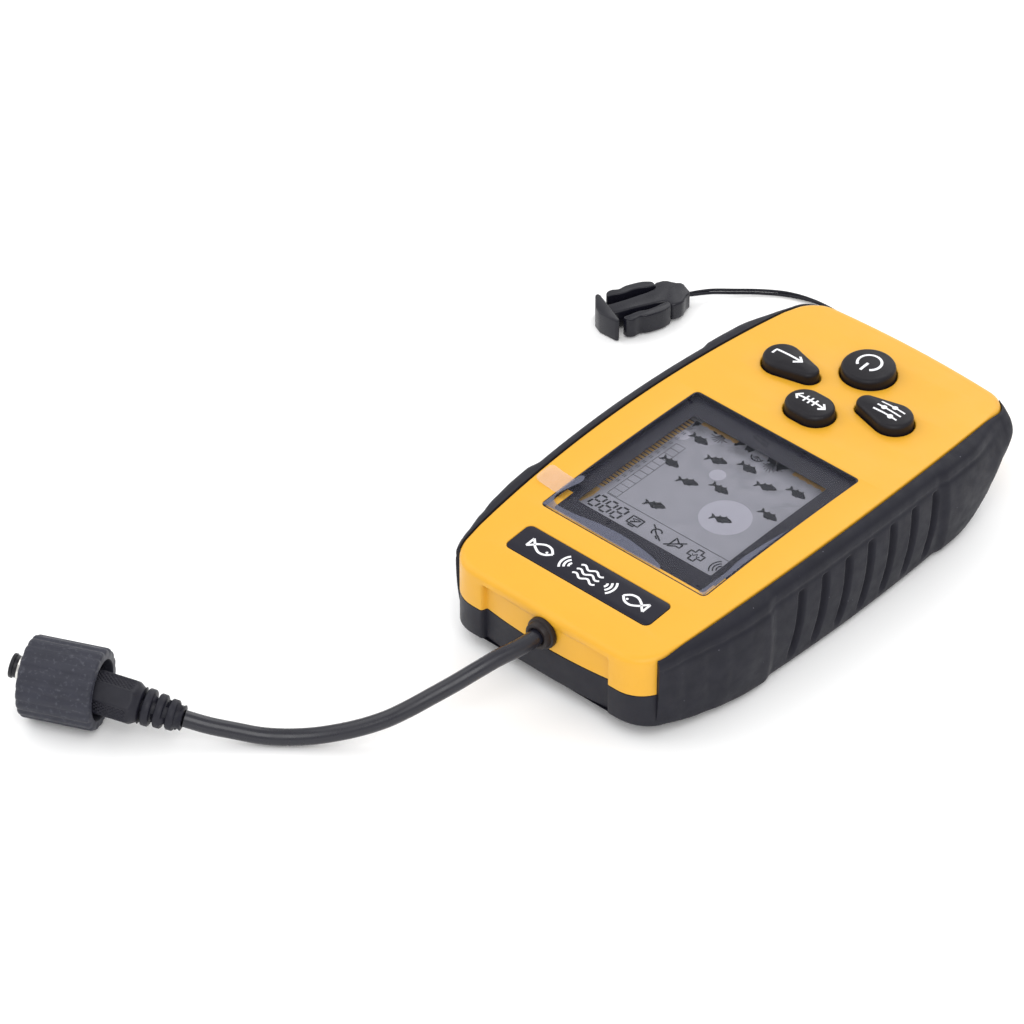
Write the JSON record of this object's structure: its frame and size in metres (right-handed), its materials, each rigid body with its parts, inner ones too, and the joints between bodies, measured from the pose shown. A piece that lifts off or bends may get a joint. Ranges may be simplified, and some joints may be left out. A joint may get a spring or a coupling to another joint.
{
  "type": "handheld fish finder",
  "caption": "Handheld wired sonar display: two-part case with rubber side grips, screen, rubber keys, battery bay, short lead with a screw-on barrel plug, and a clip lanyard.",
  "frame": {"origin": "under the middle of the handset, on the surface that it lies on", "axes": "+X right as the face is read, +Y towards the lead, +Z out of the screen"},
  "size_m": [0.1186, 0.2308, 0.028],
  "materials": {
    "case_yellow": "satin moulded ABS",
    "case_black": "fine-textured ABS",
    "grip_rubber": "matte soft rubber",
    "window_clear": "clear acrylic",
    "mask_black": "printed border behind the window",
    "film_clear": "thin clear protective film",
    "screen_grey": "reflective grey display",
    "light_white": "white diffuser",
    "holder_white": "moulded holder",
    "strip_pink": "conductive strip",
    "plate_black": "black plate",
    "key_rubber": "matte silicone",
    "carbon": "conductive pill",
    "board_green": "solder mask",
    "chip_black": "moulded package",
    "can_blue": "sleeved can",
    "contact_gold": "gold plated copper",
    "buzzer_black": "moulded housing",
    "winding_copper": "enamelled winding",
    "screw_steel": "zinc plated",
    "seal_grey": "soft seal",
    "spring_steel": "nickel plated",
    "cell_green": "plain sleeve",
    "gland_black": "moulded gland",
    "wire_black": "insulated wire",
    "header_ivory": "connector housing",
    "lead_black": "satin jacket",
    "plug_black": "moulded grip",
    "barrel_nickel": "nickel plated barrel",
    "insulator_black": "insulator",
    "ring_red": "seal ring",
    "nut_nylon": "moulded nut",
    "cord_black": "braided cord",
    "clip_black": "acetal clip"
  },
  "bodies": {
    "handset": {"front_case": "case_yellow", "back_case": "case_black", "grip_left": "grip_rubber", "grip_right": "grip_rubber", "window_lens": "window_clear", "window_mask": "mask_black", "screen_film": "film_clear", "lcd_glass": "screen_grey", "lcd_backlight": "light_white", "lcd_holder": "holder_white", "lcd_connector_strip": "strip_pink", "name_plate": "plate_black", "keypad_sheet": "key_rubber", "main_board": "board_green", "board_chips": "chip_black", "board_capacitors": "can_blue", "key_contacts": "contact_gold", "buzzer": "buzzer_black", "pulse_transformer": "winding_copper", "board_screws": "screw_steel", "case_seal": "seal_grey", "battery_springs": "spring_steel", "battery_plates": "spring_steel", "battery_cells": "cell_green", "door_seal": "seal_grey", "case_screws": "screw_steel", "cable_gland": "gland_black", "lead_tail": "wire_black", "lead_header": "header_ivory", "transducer_lead": "lead_black", "plug_body": "plug_black", "plug_barrel": "barrel_nickel", "plug_insulator": "insulator_black", "plug_seal_ring": "ring_red", "lanyard_bar": "screw_steel", "lanyard_cord": "cord_black", "clip_body": "clip_black"},
    "key_power": {"key_power": "key_rubber", "pill_power": "carbon"},
    "key_unit": {"key_unit": "key_rubber", "pill_unit": "carbon"},
    "key_enter": {"key_enter": "key_rubber", "pill_enter": "carbon"},
    "key_setup": {"key_setup": "key_rubber", "pill_setup": "carbon"},
    "battery_door": {"battery_door": "case_black"},
    "coupling_nut": {"coupling_nut": "nut_nylon"},
    "clip_arm_left": {"clip_arm_left": "clip_black"},
    "clip_arm_right": {"clip_arm_right": "clip_black"}
  },
  "joints": [
    {"name": "key_power_press", "type": "slide", "parent": "handset", "child": "key_power", "axis": [0, 0, -1], "range_m": [0, 0.0008], "stiffness_N_per_m": 1600},
    {"name": "key_unit_press", "type": "slide", "parent": "handset", "child": "key_unit", "axis": [0, 0, -1], "range_m": [0, 0.0008], "stiffness_N_per_m": 1600},
    {"name": "key_enter_press", "type": "slide", "parent": "handset", "child": "key_enter", "axis": [0, 0, -1], "range_m": [0, 0.0008], "stiffness_N_per_m": 1600},
    {"name": "key_setup_press", "type": "slide", "parent": "handset", "child": "key_setup", "axis": [0, 0, -1], "range_m": [0, 0.0008], "stiffness_N_per_m": 1600},
    {"name": "battery_door_tilt", "type": "hinge", "parent": "handset", "child": "battery_door", "pos_m": [0, 0.021, 0], "axis": [1, 0, 0], "range_deg": [0, 75]},
    {"name": "coupling_nut_turn", "type": "hinge", "parent": "handset", "child": "coupling_nut", "pos_m": [0.07081, 0.13635, 0.00915], "axis": [0.9063, 0.4226, 0], "continuous": true},
    {"name": "clip_arm_left_flex", "type": "hinge", "parent": "handset", "child": "clip_arm_left", "pos_m": [0.06634, -0.05436, 0.003], "axis": [0, 0, -1], "range_deg": [0, 8], "stiffness_Nm_per_rad": 0.15},
    {"name": "clip_arm_right_flex", "type": "hinge", "parent": "handset", "child": "clip_arm_right", "pos_m": [0.07223, -0.05686, 0.003], "axis": [0, 0, 1], "range_deg": [0, 8], "stiffness_Nm_per_rad": 0.15}
  ]
}
